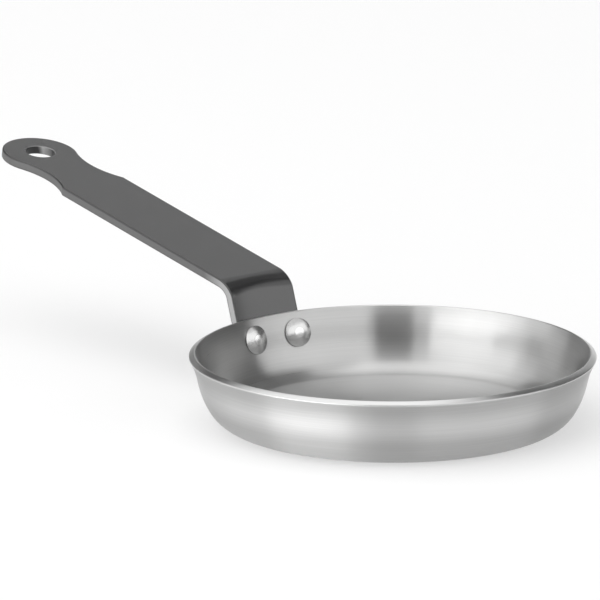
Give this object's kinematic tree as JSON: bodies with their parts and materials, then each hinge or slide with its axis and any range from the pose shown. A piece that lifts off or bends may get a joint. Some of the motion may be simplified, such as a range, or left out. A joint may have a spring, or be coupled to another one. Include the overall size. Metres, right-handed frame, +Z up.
{
  "type": "pancake pan",
  "caption": "Small round frying pan: flat base, low bellied wall with a flared lip, and a long riveted strap handle that rises to a rounded end with a hanging hole.",
  "frame": {"origin": "centre of the pan's flat underside, on the surface that it stands on", "axes": "+Z up out of the pan, +X along the handle away from the pan, +Y to the left of the handle seen from the pan"},
  "size_m": [0.2853, 0.14, 0.062],
  "materials": {
    "spun_aluminium": "spun satin, fine turning lines round the pan",
    "coated_steel": "satin dark grey coating",
    "rivet_aluminium": "pressed, half bright"
  },
  "bodies": {
    "root": {"pan_body": "spun_aluminium", "handle_strap": "coated_steel", "rivet_left": "rivet_aluminium", "rivet_right": "rivet_aluminium"}
  },
  "joints": []
}
